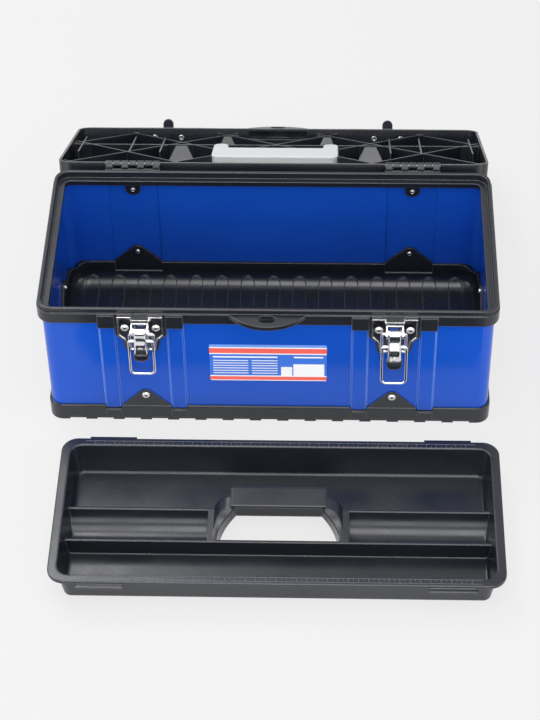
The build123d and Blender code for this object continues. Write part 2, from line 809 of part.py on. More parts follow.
# Handle cup, let into the lid, and the folding carry handle on its two pins
handle_axis = across(0, handle_pivot_y, handle_z)
with BuildPart() as cup:
    extrude(cup_outline(cup_face, 0), amount=lid_ceiling - cup_bottom)
    fillet(cup.faces().sort_by(Axis.Z)[0].edges(), cup_round)
    cup_room = cup_outline(cup_face.offset(cup_wall), -cup_wall)
    extrude(cup_room, amount=lid_height, mode=Mode.SUBTRACT)
    bore(handle_axis, handle_pin_radius + running, cup_length)
save_on_lid(cup.part, "handle_cup")

raised = radians(handle_swing)
handle_out = (0, cos(raised), sin(raised))
arm_outer = cup_length / 2 - cup_wall - handle_gap
with BuildPart() as handle:
    for side in sides.values():
        arm_x = side * (arm_outer - handle_arm_thick / 2)
        with BuildSketch(across(arm_x, handle_pivot_y, handle_z, handle_out)):
            Circle(handle_arm_radius)
            with Locations((handle_reach, handle_rise)):
                Circle(handle_arm_radius)
            make_hull()
        extrude(amount=handle_arm_thick / 2, both=True)
    with BuildSketch(across(0, handle_pivot_y, handle_z, handle_out)):
        with Locations((handle_reach, handle_rise)):
            RectangleRounded(grip_width, grip_thick, grip_round)
    extrude(amount=arm_outer, both=True)
    bore(handle_axis, handle_pin_radius + running, cup_length)
save_on_lid(handle.part, "carry_handle")

for name, side in sides.items():
    with BuildPart() as handle_pin:
        with BuildSketch(across(side * (arm_outer - handle_arm_thick), handle_pivot_y, handle_z)):
            Circle(handle_pin_radius)
        extrude(amount=side * (cup_length / 2 + fit - arm_outer + handle_arm_thick))
        with BuildSketch(across(side * (cup_length / 2 + fit), handle_pivot_y, handle_z)):
            Circle(handle_pin_head)
        extrude(amount=side * handle_pin_head_thick)
    save_on_lid(handle_pin.part, f"handle_pin_{name}")

# Strikes on the lid: a plate with a hook that the bail pulls down on
hook_top = bar_z - bail_wire - fit
hook_front = bail_closed_y - bail_wire - hook_room
for name, side in sides.items():
    with BuildPart() as strike:
        with BuildSketch(facing_front(side * latch_x, front)):
            with Locations((0, hook_top - strike_sheet + strike_height / 2)):
                RectangleRounded(2 * strike_half, strike_height, 2 * strike_sheet)
        extrude(amount=strike_sheet)
        with BuildSketch(across(side * latch_x)):
            with BuildLine():
                Polyline(
                    (front - strike_sheet, hook_top),
                    (hook_front, hook_top),
                    (hook_front, hook_top + hook_lip),
                    (hook_front - strike_sheet, hook_top + hook_lip),
                    (hook_front - strike_sheet, hook_top - strike_sheet),
                    (front - strike_sheet, hook_top - strike_sheet),
                    close=True,
                )
            make_face()
        extrude(amount=hook_half, both=True)
        for face in strike_rivets.values():
            bore(face, rivet_bore, 2 * strike_sheet)
    save_on_lid(strike.part, f"strike_{name}")
strike_lean = (strike_rivet_rise + rivet_tail) * tan(radians(lid_draft))
for name, face in strike_rivets.items():
    rivet(name, face, strike_sheet + lid_inset + lid_wall + strike_lean + running, write=save_on_lid)

# Latches: plate and bracket on the rim, lever with a plastic tip, and wire bail on the lever
cheek_inner = lever_half + cheek_gap
for name, side in sides.items():
    x = side * latch_x
    plate_face = facing_front(x, front)
    with BuildPart() as plate:
        extrude(latch_outline(plate_face, 0), amount=plate_sheet + plate_border)
        inner = latch_outline(plate_face.offset(plate_sheet), -plate_sheet)
        extrude(inner, amount=plate_border, mode=Mode.SUBTRACT)
        with BuildSketch(plate_face):
            for turn in (-1, 1):
                with Locations((turn * (ear_notch_half + plate_half) / 2, ear_top - plate_sheet / 2)):
                    Rectangle(plate_half - ear_notch_half, plate_sheet)
        extrude(amount=ear_flange)
        for turn in (-1, 1):
            with BuildSketch(across(x + turn * (cheek_inner + cheek / 2))):
                with Locations((lever_y, lever_z)):
                    Circle(cheek_radius)
                with Locations((front - plate_sheet, lever_z)):
                    Rectangle(plate_sheet, 2 * bridge_rise)
                make_hull()
            extrude(amount=cheek / 2, both=True)
        bridge_out = lever_axis_out - cheek_radius
        with BuildSketch(plate_face.offset(plate_sheet)):
            with Locations((0, lever_z + bridge_rise - cheek / 2)):
                Rectangle(2 * (cheek_inner + cheek), cheek)
        extrude(amount=bridge_out - plate_sheet)
        bore(across(x, lever_y, lever_z), lever_pin_radius + running, plate_half)
        for face in latch_rivets.values():
            bore(face, rivet_bore, 2 * plate_sheet)
    save(plate.part, f"latch_plate_{name}")

    with BuildPart() as lever_pin:
        with BuildSketch(across(x, lever_y, lever_z)):
            Circle(lever_pin_radius)
        extrude(amount=cheek_inner + 2 * cheek, both=True)
    save(lever_pin.part, f"lever_pin_{name}")

    lever_turn = radians(lever_right_angle if name == "right" else 0)
    lever_out = (0, -cos(lever_turn), sin(lever_turn))
    lever_face = across(x, lever_y, lever_z, lever_out)
    with BuildPart() as lever:
        with BuildSketch(lever_face):
            Circle(lever_head)
            with Locations((-bail_pivot_in, bail_pivot_down)):
                Circle(lever_eye)
            with Locations(((lever_front - lever_back) / 2, lever_length - lever_sheet)):
                Rectangle(lever_front + lever_back, 2 * lever_sheet)
            make_hull()
        extrude(amount=lever_half, both=True)
        with BuildSketch(lever_face):
            with Locations((lever_front - lever_sheet - lever_length, 0)):
                Rectangle(2 * lever_length, 4 * lever_length)
        extrude(amount=lever_half - lever_sheet, both=True, mode=Mode.SUBTRACT)
        bore(lever_face, lever_pin_radius + running, lever_half)
        bail_origin = lever_face.from_local_coords((-bail_pivot_in, bail_pivot_down, 0))
        bore(across(x, bail_origin.Y, bail_origin.Z), bail_wire + running, lever_half)
    save(lever.part, f"latch_lever_{name}")

    with BuildPart() as tip:
        with BuildSketch(lever_face):
            with Locations(((lever_front - lever_back) / 2, lever_length + lever_tip_length / 2)):
                Rectangle(lever_front + lever_back + 2 * fit, lever_tip_length)
        extrude(amount=lever_tip_half, both=True)
        tip_axis = Axis(lever_face.origin, lever_face.y_dir)
        fillet(tip.faces().sort_by(tip_axis)[-1].edges(), lever_tip_round)
    save(tip.part, f"lever_tip_{name}")

    bail_turn = radians(bail_right_angle if name == "right" else 0)
    bail_face = Plane(origin=bail_origin, x_dir=(1, 0, 0), z_dir=(0, cos(bail_turn), -sin(bail_turn)))
    pin_end = lever_half - lever_sheet + fit
    with BuildPart() as bail:
        with BuildLine(bail_face) as bail_path:
            FilletPolyline(
                (-pin_end, 0),
                (-bail_half, 0),
                (-bail_half, bail_length),
                (bail_half, bail_length),
                (bail_half, 0),
                (pin_end, 0),
                radius=[bail_eye_bend, bail_bend, bail_bend, bail_eye_bend],
            )
        with BuildSketch(Plane(origin=bail_path.line @ 0, z_dir=bail_path.line % 0)):
            Circle(bail_wire)
        sweep()
    save(bail.part, f"bail_{name}")

# Lift-out tray: two flat bins, two round troughs and a hand hole under a grip
tray_face = Plane(origin=(tray_x, tray_y, 0))
bin_length = tray_length - 2 * tray_flange
bin_depth = tray_depth - 2 * tray_flange
bin_corner = tray_corner - tray_flange / 2
with BuildPart() as tray_hollow:
    with BuildSketch(tray_face.offset(tray_height)):
        RectangleRounded(bin_length, bin_depth, bin_corner)
    extrude(amount=tray_floor - tray_height, taper=tray_draft)
    fillet(tray_hollow.faces().sort_by(Axis.Z)[0].edges(), tray_floor_round)

trough_face = Plane(origin=(tray_x, tray_y + trough_y, 0))
block_depth = 2 * (trough_radius + divider_wall)
with BuildPart() as tray_block:
    add(tray_hollow.part)
    with BuildSketch(trough_face):
        Rectangle(tray_length, block_depth)
        with Locations((0, (hand_hole_rear + divider_wall) / 2)):
            Rectangle(2 * (hand_hole_back + 2 * divider_wall), hand_hole_rear + divider_wall)
    extrude(amount=divider_height, mode=Mode.INTERSECT)

with BuildPart() as troughs:
    for side in sides.values():
        with BuildSketch(across(tray_x + side * trough_inner_end, tray_y + trough_y, divider_height)):
            Circle(trough_radius)
        extrude(amount=side * tray_length / 2)
    add(tray_hollow.part, mode=Mode.INTERSECT)

grip_y = tray_y + trough_y + trough_radius + divider_wall + tray_grip_overhang
grip_front = grip_y - tray_grip_width / 2
grip_back = grip_y + tray_grip_width / 2
hole_front = tray_y + trough_y - trough_radius
web_foot = divider_height - divider_wall
grip_under = tray_grip_top - tray_grip_thick
grip_inner = tray_grip_half - tray_leg_thick
under_front = grip_inner + hand_space_spread
leg_foot = tray_grip_half + tray_leg_run
leg_rear = tray_y + trough_y + trough_radius + divider_wall

with BuildPart() as hand_space:
    add(hand_hole(trough_face.offset(divider_height), hand_hole_front, hand_hole_back, hand_hole_bulge))
    add(hand_hole(trough_face.offset(grip_under), under_front, grip_inner, hand_space_spread))
    loft(ruled=True)

with BuildPart() as tray_grip:
    with BuildSketch(facing_front(tray_x, grip_back)):
        with BuildLine():
            Polyline(
                (-tray_grip_half, grip_under),
                (-tray_grip_half, tray_grip_top),
                (tray_grip_half, tray_grip_top),
                (tray_grip_half, grip_under),
            )
            Line((leg_foot, web_foot), (-leg_foot, web_foot))
            for side in sides.values():
                Bezier(
                    (side * tray_grip_half, grip_under),
                    (side * (leg_foot - tray_leg_curve), grip_under),
                    (side * leg_foot, web_foot),
                )
        make_face()
    extrude(amount=grip_back - hole_front)
    with BuildSketch(across(tray_x)):
        with BuildLine():
            Bezier(
                (hole_front, divider_height),
                (grip_front - tray_leg_curve, divider_height),
                (grip_front, grip_under),
            )
            Polyline(
                (grip_front, grip_under),
                (grip_front, tray_grip_top),
                (grip_back, tray_grip_top),
                (grip_back, grip_under),
                (grip_y + tray_leg_back, grip_under),
                (leg_rear, web_foot),
                (hole_front, web_foot),
                (hole_front, divider_height),
            )
        make_face()
    extrude(amount=tray_length / 2, both=True, mode=Mode.INTERSECT)
    add(hand_space.part, mode=Mode.SUBTRACT)

with BuildPart() as tray:
    with BuildSketch(tray_face.offset(tray_height)):
        RectangleRounded(bin_length + 2 * tray_wall, bin_depth + 2 * tray_wall, bin_corner + tray_wall)
    extrude(amount=-tray_height, taper=tray_draft)
    with BuildSketch(tray_face.offset(tray_height)):
        RectangleRounded(tray_length, tray_depth, tray_corner)
    extrude(amount=-tray_flange_thick)
    with BuildSketch(tray_face.offset(tray_height - tray_flange_thick)):
        for end in (-1, 1):
            with Locations([(side * tray_tab_x, end * tray_depth / 2) for side in sides.values()]):
                Rectangle(tray_tab_length, 2 * tray_tab_out)
    extrude(amount=-tray_tab_thick)
    add(tray_hollow.part, mode=Mode.SUBTRACT)
    add(tray_block.part)
    add(troughs.part, mode=Mode.SUBTRACT)
    add(tray_grip.part)
    with BuildSketch(trough_face):
        add(hand_hole(Plane.XY, hand_hole_front, hand_hole_back, hand_hole_bulge))
        with Locations((0, hand_hole_rear - tray_depth / 2)):
            Rectangle(tray_length, tray_depth, mode=Mode.INTERSECT)
    extrude(amount=divider_height, mode=Mode.SUBTRACT)
save(tray.part, "lift_out_tray")
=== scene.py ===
"""Looks of a tool box: finishes of mouldings, steel and metalwork, small formed pieces and the stage."""
import json
from math import cos, pi, radians, sin

import bmesh
import bpy
import numpy as np
from bpy.props import FloatProperty, FloatVectorProperty, PointerProperty
from mathutils import Matrix, Vector

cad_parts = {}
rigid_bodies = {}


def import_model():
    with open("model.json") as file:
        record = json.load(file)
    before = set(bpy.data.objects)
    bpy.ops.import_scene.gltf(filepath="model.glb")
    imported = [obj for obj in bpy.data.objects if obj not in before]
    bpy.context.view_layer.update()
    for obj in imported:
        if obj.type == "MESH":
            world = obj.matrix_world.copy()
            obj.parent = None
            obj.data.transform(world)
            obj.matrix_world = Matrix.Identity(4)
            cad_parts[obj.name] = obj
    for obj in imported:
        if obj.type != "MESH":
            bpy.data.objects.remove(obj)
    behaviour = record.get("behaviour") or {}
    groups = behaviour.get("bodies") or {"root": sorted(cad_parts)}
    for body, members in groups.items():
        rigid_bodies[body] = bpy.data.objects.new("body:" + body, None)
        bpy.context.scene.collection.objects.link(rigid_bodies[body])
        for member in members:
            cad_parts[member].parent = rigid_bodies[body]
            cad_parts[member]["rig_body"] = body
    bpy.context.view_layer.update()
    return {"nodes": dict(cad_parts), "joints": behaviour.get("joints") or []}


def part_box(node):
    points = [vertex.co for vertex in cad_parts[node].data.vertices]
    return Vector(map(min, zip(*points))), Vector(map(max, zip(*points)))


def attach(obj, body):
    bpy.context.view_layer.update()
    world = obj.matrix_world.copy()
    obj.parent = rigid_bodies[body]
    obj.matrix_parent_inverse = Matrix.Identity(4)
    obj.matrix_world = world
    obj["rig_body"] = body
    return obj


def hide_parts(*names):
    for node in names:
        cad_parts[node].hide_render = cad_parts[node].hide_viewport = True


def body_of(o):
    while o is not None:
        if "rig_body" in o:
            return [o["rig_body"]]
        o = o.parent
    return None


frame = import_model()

bl_info = {
    "name": "Tool Box Dressing",
    "version": (1, 0, 0),
    "blender": (4, 5, 0),
    "location": "View3D > Sidebar > Tool Box",
    "description": "Finishes and small formed pieces of a steel and plastic tool box",
    "category": "Object",
}

MM = 0.001
NODES = frame["nodes"]
JOINTS = {joint["name"]: joint for joint in frame["joints"]}
SIDES = ("left", "right")
ACROSS = np.array((1.0, 0.0, 0.0))  # the box's long way


def linear(code):
    """Linear red, green, blue and alpha of an sRGB hex colour."""
    parts = [int(code[i:i + 2], 16) / 255 for i in (1, 3, 5)]
    return tuple(p / 12.92 if p <= 0.04045 else ((p + 0.055) / 1.055) ** 2.4 for p in parts) + (1.0,)


class ToolBoxColours(bpy.types.PropertyGroup):
    """Colours of the finishes."""

    plastic: FloatVectorProperty(
        name="Plastic",
        description="Black polypropylene of base, rim, lid and tray",
        subtype="COLOR",
        size=4,
        default=linear("#191C24"),
    )
    paint: FloatVectorProperty(
        name="Paint",
        description="Blue powder coat of the steel",
        subtype="COLOR",
        size=4,
        default=linear("#1551C0"),
    )
    cup: FloatVectorProperty(
        name="Handle cup",
        description="Light grey polypropylene of the handle cup",
        subtype="COLOR",
        size=4,
        default=linear("#C6C8C9"),
    )
    stripe: FloatVectorProperty(
        name="Label stripe",
        description="Stripes printed on the label",
        subtype="COLOR",
        size=4,
        default=linear("#F4645A"),
    )
    film: FloatVectorProperty(
        name="Label film",
        description="Field of the label",
        subtype="COLOR",
        size=4,
        default=linear("#3A74DA"),
    )
    backdrop: FloatVectorProperty(
        name="Backdrop",
        description="Floor and surroundings as the camera sees them",
        subtype="COLOR",
        size=4,
        default=linear("#EEEEEE"),
    )


class ToolBoxSizes(bpy.types.PropertyGroup):
    """Sizes of the formed pieces and of the surface detail."""

    edge: FloatProperty(
        name="Edge radius",
        description="Radius that softens the edges of the mouldings",
        unit="LENGTH",
        default=1.2 * MM,
    )
    tick_pitch: FloatProperty(
        name="Ruler pitch",
        description="Distance between the long ticks on the tray's flange",
        unit="LENGTH",
        default=10 * MM,
    )
    sheet: FloatProperty(
        name="Lever sheet",
        description="Thickness of the pressed lever",
        unit="LENGTH",
        default=1.3 * MM,
    )


def put(tree, kind, sockets=None, **settings):
    """Add a node, set its properties and set or link its input sockets."""
    node = tree.nodes.new(kind)
    for name, value in settings.items():
        setattr(node, name, value)
    for socket, value in (sockets or {}).items():
        if isinstance(value, bpy.types.NodeSocket):
            tree.links.new(value, node.inputs[socket])
        else:
            node.inputs[socket].default_value = value
    return node


def begin(name):
    """A new material with an empty tree."""
    material = bpy.data.materials.new(name)
    material.use_nodes = True
    material.node_tree.nodes.clear()
    return material, material.node_tree


def close(tree, shader):
    """Send a shader to the material's output."""
    put(tree, "ShaderNodeOutputMaterial", {"Surface": shader.outputs[0]})


def wear(material, *names):
    """Put one finish on CAD nodes in place of what they came with."""
    for name in names:
        NODES[name].data.materials.clear()
        NODES[name].data.materials.append(material)


def surface(name, points, sharp, finish=0):
    """A mesh object over grids of points: the rows of each grid are closed rings, joined in order.

    Rings that shrink to a point or fold flat close the ends, and edges sharper than the angle stay crisp.
    The finish gives the material slot of each row of faces.
    """
    count, rows, columns = points.shape[:3]
    number = np.arange(count * rows * columns).reshape(count, rows, columns)
    beside = np.roll(number, -1, axis=2)
    quads = np.stack((number[:, :-1], beside[:, :-1], beside[:, 1:], number[:, 1:]), axis=-1)
    mesh = bpy.data.meshes.new(name)
    mesh.from_pydata(points.reshape(-1, 3).tolist(), [], quads.reshape(-1, 4).tolist())
    slots = np.broadcast_to(np.reshape(finish, (1, -1, 1)), (count, rows - 1, columns))
    mesh.polygons.foreach_set("material_index", slots.ravel())
    work = bmesh.new()
    work.from_mesh(mesh)
    bmesh.ops.remove_doubles(work, verts=work.verts, dist=0.001 * MM)
    bmesh.ops.recalc_face_normals(work, faces=work.faces)
    work.to_mesh(mesh)
    work.free()
    mesh.shade_smooth()
    mesh.set_sharp_from_angle(angle=radians(sharp))
    piece = bpy.data.objects.new(name, mesh)
    bpy.context.scene.collection.objects.link(piece)
    return piece


def stand_for(piece, node, material):
    """Show a formed piece in place of a CAD node, on the node's body and with the given finish."""
    piece.data.materials.append(material)
    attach(piece, body_of(NODES[node])[0])
    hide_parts(node)


def places(name):
    """Places of a CAD node's vertices, in metres."""
    flat = np.empty(3 * len(NODES[name].data.vertices))
    NODES[name].data.vertices.foreach_get("co", flat)
    return flat.reshape(-1, 3)


def lever_axes(side):
    """Pivot of a latch lever, its direction down the lever and its direction away from the wall."""
    joint = JOINTS[f"lever_{side}_pivot"]
    lean = -radians(joint["range_deg"][0])
    pivot = np.array(joint["pos_m"])
    return pivot, np.array((0.0, -sin(lean), -cos(lean))), np.array((0.0, -cos(lean), sin(lean)))


def polypropylene(name, colour, edge, sheen_roughness, soft=None):
    """Moulded polypropylene: satin, with a fine spark-eroded grain and edges painted a little paler as a
    painted highlight.

    A softer moulding blends its normals over a wider radius than the one that sets its painted edge
    highlights.
    """
    material, tree = begin(name)
    place = put(tree, "ShaderNodeTexCoord").outputs["Object"]
    # A real grain of 0.3 mm is finer than a pixel here, so it is drawn at 2 mm
    grain = put(tree, "ShaderNodeTexNoise", {"Vector": place, "Scale": 1 / (2 * MM), "Detail": 2.0})
    # Handling marks and flow marks about 45 mm across change the gloss
    marks = put(tree, "ShaderNodeTexNoise", {"Vector": place, "Scale": 1 / (45 * MM), "Detail": 5.0})
    gloss = put(
        tree,
        "ShaderNodeMapRange",
        {"Value": marks.outputs["Fac"], "From Min": 0.3, "From Max": 0.7,
         "To Min": sheen_roughness - 0.05, "To Max": sheen_roughness + 0.08},
    )
    rounded = put(tree, "ShaderNodeBevel", {"Radius": edge}, samples=6)
    blended = put(tree, "ShaderNodeBevel", {"Radius": soft}, samples=8) if soft else rounded
    flat = put(tree, "ShaderNodeNewGeometry").outputs["Normal"]
    turned = put(tree, "ShaderNodeVectorMath", {0: rounded.outputs[0], 1: flat}, operation="DOT_PRODUCT")
    # Painted highlight: edges are painted paler where a rounded edge would catch the light
    painted_highlight = put(
        tree,
        "ShaderNodeMapRange",
        {"Value": turned.outputs["Value"], "From Min": 0.985, "From Max": 0.8,
         "To Min": 0.0, "To Max": 0.6},
    )
    highlight_colour = tuple(min(1.0, part * 1.2 + 0.14) for part in colour[:3]) + (1.0,)
    tint = put(
        tree,
        "ShaderNodeMix",
        {"Factor": painted_highlight.outputs[0], "A": tuple(colour), "B": highlight_colour},
        data_type="RGBA",
    )
    bump = put(
        tree,
        "ShaderNodeBump",
        {"Strength": 0.05, "Distance": 0.3 * MM, "Height": grain.outputs["Fac"],
         "Normal": blended.outputs[0]},
    )
    skin = put(
        tree,
        "ShaderNodeBsdfPrincipled",
        {"Base Color": tint.outputs["Result"], "Roughness": gloss.outputs[0], "Normal": bump.outputs[0],
         "IOR": 1.49, "Specular IOR Level": 0.55},
    )
    close(tree, skin)
    return material


def powder_coat(colour, edge):
    """Gloss powder coat on steel sheet: deep colour under a clear skin with a faint orange peel."""
    material, tree = begin("blue_powder_coat")
    place = put(tree, "ShaderNodeTexCoord").outputs["Object"]
    # Orange peel of about 3 mm between its lumps
    peel = put(tree, "ShaderNodeTexNoise", {"Vector": place, "Scale": 1 / (3 * MM), "Detail": 1.0})
    # The coat is a little thicker in some patches, about 60 mm across
    cover = put(tree, "ShaderNodeTexNoise", {"Vector": place, "Scale": 1 / (60 * MM), "Detail": 3.0})
    deep = tuple(part * 0.86 for part in colour[:3]) + (1.0,)
    tint = put(
        tree,
        "ShaderNodeMix",
        {"Factor": cover.outputs["Fac"], "A": deep, "B": tuple(colour)},
        data_type="RGBA",
    )
    rounded = put(tree, "ShaderNodeBevel", {"Radius": edge}, samples=6)
    flat = put(tree, "ShaderNodeNewGeometry").outputs["Normal"]
    turned = put(tree, "ShaderNodeVectorMath", {0: rounded.outputs[0], 1: flat}, operation="DOT_PRODUCT")
    # Painted highlight: the pressed edges are painted paler, as if they caught the light
    thin = put(
        tree,
        "ShaderNodeMapRange",
        {"Value": turned.outputs["Value"], "From Min": 0.995, "From Max": 0.9,
         "To Min": 0.0, "To Max": 0.6},
    )
    # The painted highlight goes on the outside alone, so faces that look at the middle of the box keep the
    # plain coat
    outward = put(tree, "ShaderNodeVectorMath", {0: place, 1: flat}, operation="DOT_PRODUCT")
    outside = put(tree, "ShaderNodeMath", {0: outward.outputs["Value"], 1: 0.0}, operation="GREATER_THAN")
    bright = put(tree, "ShaderNodeMath", {0: thin.outputs[0], 1: outside.outputs[0]}, operation="MULTIPLY")
    drawn = put(
        tree,
        "ShaderNodeMix",
        {"Factor": bright.outputs[0], "A": tint.outputs["Result"], "B": linear("#8FB6FA")},
        data_type="RGBA",
    )
    bump = put(
        tree,
        "ShaderNodeBump",
        {"Strength": 0.03, "Distance": 0.1 * MM, "Height": peel.outputs["Fac"],
         "Normal": rounded.outputs[0]},
    )
    skin = put(
        tree,
        "ShaderNodeBsdfPrincipled",
        {"Base Color": drawn.outputs["Result"], "Roughness": 0.16, "Normal": bump.outputs[0],
         "Specular IOR Level": 0.3},
    )
    close(tree, skin)
    return material


def nickel_plate(edge):
    """Bright nickel on pressed steel: mirror-like, with press marks that bend what it mirrors."""
    material, tree = begin("bright_nickel_plate")
    place = put(tree, "ShaderNodeTexCoord").outputs["Object"]
    # Press marks about 6 mm long
    waves = put(tree, "ShaderNodeTexNoise", {"Vector": place, "Scale": 1 / (6 * MM), "Detail": 2.0})
    gloss = put(
        tree,
        "ShaderNodeMapRange",
        {"Value": waves.outputs["Fac"], "From Min": 0.3, "From Max": 0.7, "To Min": 0.05, "To Max": 0.15},
    )
    rounded = put(tree, "ShaderNodeBevel", {"Radius": edge}, samples=6)
    bump = put(
        tree,
        "ShaderNodeBump",
        {"Strength": 0.12, "Distance": 0.3 * MM, "Height": waves.outputs["Fac"],
         "Normal": rounded.outputs[0]},
    )
    skin = put(
        tree,
        "ShaderNodeBsdfPrincipled",
        {"Base Color": linear("#ECECEE"), "Metallic": 1.0, "Roughness": gloss.outputs[0],
         "Normal": bump.outputs[0]},
    )
    close(tree, skin)
    return material


def drawn_metal(name, colour):
    """Drawn metal of rivets and hinge pins: half bright, with fine tool marks that break up the gloss."""
    material, tree = begin(name)
    place = put(tree, "ShaderNodeTexCoord").outputs["Object"]
    # Tool marks about 0.8 mm apart
    marks = put(tree, "ShaderNodeTexNoise", {"Vector": place, "Scale": 1 / (0.8 * MM), "Detail": 1.0})
    gloss = put(
        tree,
        "ShaderNodeMapRange",
        {"Value": marks.outputs["Fac"], "From Min": 0.3, "From Max": 0.7, "To Min": 0.25, "To Max": 0.4},
    )
    skin = put(
        tree,
        "ShaderNodeBsdfPrincipled",
        {"Base Color": colour, "Metallic": 1.0, "Roughness": gloss.outputs[0]},
    )
    close(tree, skin)
    return material


class TOOLBOX_OT_mouldings(bpy.types.Operator):
    """Finish the black mouldings and the light grey handle cup."""

    bl_idname = "toolbox.mouldings"
    bl_label = "Mouldings"

    def execute(self, context):
        colours, sizes = context.scene.tool_box_colours, context.scene.tool_box_sizes
        black = polypropylene("black_polypropylene", colours.plastic, sizes.edge, 0.27)
        wear(black, "base_moulding", "top_rim", "lid_shell", "carry_handle")
        # The tray's troughs are shaded over a wider radius, which blends the facets of their curves
        flowing = polypropylene("tray_polypropylene", colours.plastic, sizes.edge, 0.27, 2.5 * sizes.edge)
        wear(flowing, "lift_out_tray")
        wear(polypropylene("grey_polypropylene", colours.cup, sizes.edge, 0.45), "handle_cup")
        return {"FINISHED"}


class TOOLBOX_OT_steel(bpy.types.Operator):
    """Finish the painted steel wrap."""

    bl_idname = "toolbox.steel"
    bl_label = "Steel Wrap"

    def execute(self, context):
        colours, sizes = context.scene.tool_box_colours, context.scene.tool_box_sizes
        wear(powder_coat(colours.paint, 1.5 * sizes.edge), "steel_wrap")
        return {"FINISHED"}


class TOOLBOX_OT_metalwork(bpy.types.Operator):
    """Finish the latch plates, bails, strikes and pins."""

    bl_idname = "toolbox.metalwork"
    bl_label = "Metalwork"

    def execute(self, context):
        nickel = nickel_plate(0.4 * MM)
        for side in SIDES:
            wear(nickel, f"latch_plate_{side}", f"bail_{side}", f"strike_{side}")
        wear(nickel, *(name for name in NODES if name.startswith(("handle_pin", "lever_pin"))))
        wear(drawn_metal("hinge_pin_steel", linear("#77757A")), "hinge_pin_left", "hinge_pin_right")
        return {"FINISHED"}


class TOOLBOX_OT_rivets(bpy.types.Operator):
    """Form the blind rivets.

    Each is a profile of radius and depth, from the broken stem in the head to the end of the tail, turned
    about the rivet's axis. The head is as wide as the CAD node's.
    """

    bl_idname = "toolbox.rivets"
    bl_label = "Rivets"

    def execute(self, context):
        aluminium = drawn_metal("rivet_aluminium", linear("#E4E4E2"))
        stem = drawn_metal("rivet_stem_steel", linear("#4A4845"))
        swing = radians(JOINTS["lid_hinge"]["range_deg"][0])
        heads = {"base_rivet_left": (1, 0, 0), "base_rivet_right": (-1, 0, 0),
                 "strike": (0, -cos(swing), -sin(swing))}
        forward = (0, -1, 0)
        shank, tail, lip, stem_rows = 2.0, 3.2, 1.8, 4
        turn = np.linspace(0, 2 * pi, 40, endpoint=False)
        for name in [node for node in NODES if "rivet" in node]:
            ways = (way for start, way in heads.items() if name.startswith(start))
            out = np.array(next(ways, forward), float)
            first = np.array((0.0, 1.0, 0.0) if abs(out[0]) > 0.5 else (1.0, 0.0, 0.0))
            second = np.cross(out, first)
            along = places(name) @ np.stack((first, second, out), axis=1)
            low, high = along.min(axis=0), along.max(axis=0)
            middle = (low + high) / 2
            span = (high - low)[2] / MM
            near = along[along[:, 2] > high[2] - lip * MM] - middle
            head = np.hypot(near[:, 0], near[:, 1]).max() / MM
            dome = head - shank
            # Radius and depth: broken stem, dome of the head, rim, shank and tail
            profile = np.array((
                (0.0, 0.75), (0.75, 0.8), (1.05, 1.0), (1.25, 1.15), (1.35, 0.6), (1.5, 0.16), (1.8, 0.0),
                (shank + 0.2 * dome, 0.08), (shank + 0.55 * dome, 0.42), (shank + 0.85 * dome, 1.0),
                (head, 1.5), (head, 1.7), (shank, 1.7), (shank, span - 1.0),
                (tail, span - 1.0), (tail, span - 0.3), (2.9, span), (1.2, span), (0.0, span - 0.5),
            )) * MM
            radius, deep = profile[:, 0, None, None], profile[:, 1, None, None]
            spoke = np.cos(turn)[:, None] * first + np.sin(turn)[:, None] * second
            centre = middle[0] * first + middle[1] * second + high[2] * out
            finish = (np.arange(len(profile) - 1) < stem_rows).astype(int)
            piece = surface(f"formed_{name}", (centre + radius * spoke - deep * out)[None], 40, finish)
            stand_for(piece, name, aluminium)
            piece.data.materials.append(stem)
        return {"FINISHED"}


